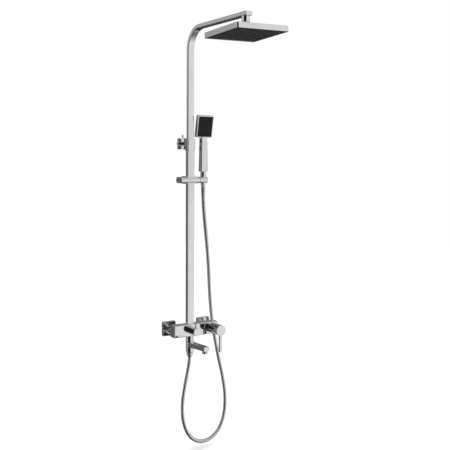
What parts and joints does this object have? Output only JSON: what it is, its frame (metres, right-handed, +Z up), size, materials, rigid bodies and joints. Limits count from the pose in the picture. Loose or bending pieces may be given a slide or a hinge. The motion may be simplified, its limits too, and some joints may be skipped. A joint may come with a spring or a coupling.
{
  "type": "shower column",
  "caption": "Wall-mounted rainfall shower column: bath mixer with swinging spout, telescopic riser, square rain head, and a handset on a sliding holder with its hose.",
  "frame": {"origin": "on the wall plane, midway between the two water inlets", "axes": "+Z up the riser, +Y into the wall, -Y into the room, +X to the right as seen from the room"},
  "size_m": [0.276, 0.54, 1.5737],
  "materials": {
    "chrome": "polished",
    "brass": "satin",
    "steel": "satin",
    "hose_steel": "polished, ridged",
    "black_plastic": "satin",
    "silicone": "matte",
    "rubber": "matte",
    "nylon": "satin"
  },
  "bodies": {
    "mixer_and_riser": {"mixer_body": "chrome", "inlet_union_left": "chrome", "inlet_union_right": "chrome", "union_nut_left": "chrome", "union_nut_right": "chrome", "union_washers": "rubber", "escutcheon_left": "chrome", "escutcheon_right": "chrome", "riser_socket": "brass", "riser_lower_tube": "chrome", "bracket_collar": "chrome", "collar_bush": "nylon", "collar_screw": "steel", "bracket_stem": "chrome", "wall_plate": "steel", "wall_screws": "steel", "bracket_cover": "chrome", "cover_lock_screw": "chrome", "outlet_boss": "chrome", "outlet_stem": "brass", "o_rings": "rubber", "hose_outlet": "chrome", "hose_bottom_nut": "chrome", "shower_hose": "hose_steel", "diverter_cartridge": "nylon", "handle_bonnet": "chrome", "mixing_cartridge": "nylon"},
    "upper_riser": {"riser_upper_tube": "chrome", "slide_guide": "nylon", "arm_end_cap": "chrome", "swivel_nut": "chrome"},
    "head_swivel": {"swivel_seat": "nylon"},
    "rain_head": {"rain_head_shell": "chrome", "rain_head_face": "black_plastic", "rain_head_jets": "silicone", "swivel_ball": "chrome"},
    "slider": {"slider_body": "chrome", "slider_collar": "chrome", "slider_bush": "nylon"},
    "slider_button": {"release_button": "chrome"},
    "handset_holder": {"holder_knuckle": "chrome", "holder_cup": "nylon", "holder_axle": "steel", "handset_shell": "chrome", "handset_face": "black_plastic", "handset_jets": "silicone", "handset_neck": "chrome", "hose_top_nut": "chrome", "hose_sleeve": "hose_steel"},
    "spout": {"spout_body": "chrome", "aerator_housing": "chrome", "aerator_insert": "nylon"},
    "diverter": {"diverter_knob": "chrome", "diverter_spindle": "brass", "diverter_pin": "chrome"},
    "handle_carrier": {"handle_dome": "chrome", "cartridge_carrier": "nylon"},
    "handle": {"handle_body": "chrome", "handle_lever": "chrome", "handle_stem": "steel"}
  },
  "joints": [
    {"name": "riser_telescope", "type": "slide", "parent": "mixer_and_riser", "child": "upper_riser", "axis": [0, 0, 1], "range_m": [-0.2, 0.16]},
    {"name": "rain_head_spin", "type": "hinge", "parent": "upper_riser", "child": "head_swivel", "pos_m": [-0.015, -0.416, 1.09], "axis": [0, 0, 1], "continuous": true},
    {"name": "rain_head_tilt", "type": "hinge", "parent": "head_swivel", "child": "rain_head", "pos_m": [-0.015, -0.416, 1.09], "axis": [1, 0, 0], "range_deg": [-15, 15]},
    {"name": "slider_slide", "type": "slide", "parent": "mixer_and_riser", "child": "slider", "axis": [0, 0, 1], "range_m": [-0.3, 0.085], "deforming": ["shower_hose"]},
    {"name": "release_button_press", "type": "slide", "parent": "slider", "child": "slider_button", "axis": [1, 0, 0], "range_m": [0, 0.0025], "stiffness_N_per_m": 600},
    {"name": "holder_tilt", "type": "hinge", "parent": "slider", "child": "handset_holder", "pos_m": [0.017, -0.06, 0.563], "axis": [1, 0, 0], "range_deg": [-8, 30], "deforming": ["hose_sleeve", "shower_hose"]},
    {"name": "spout_swing", "type": "hinge", "parent": "mixer_and_riser", "child": "spout", "pos_m": [-0.015, -0.06, -0.0565], "axis": [0, 0, 1], "range_deg": [-60, 15]},
    {"name": "diverter_turn", "type": "hinge", "parent": "mixer_and_riser", "child": "diverter", "pos_m": [-0.015, -0.099, 0], "axis": [0, -1, 0], "range_deg": [-90, 90]},
    {"name": "handle_temperature", "type": "hinge", "parent": "mixer_and_riser", "child": "handle_carrier", "pos_m": [0.075, -0.1, 0], "axis": [0, -1, 0], "range_deg": [-30, 30]},
    {"name": "handle_flow", "type": "hinge", "parent": "handle_carrier", "child": "handle", "pos_m": [0.075, -0.1, 0], "axis": [-1, 0, 0], "range_deg": [0, 12]}
  ]
}
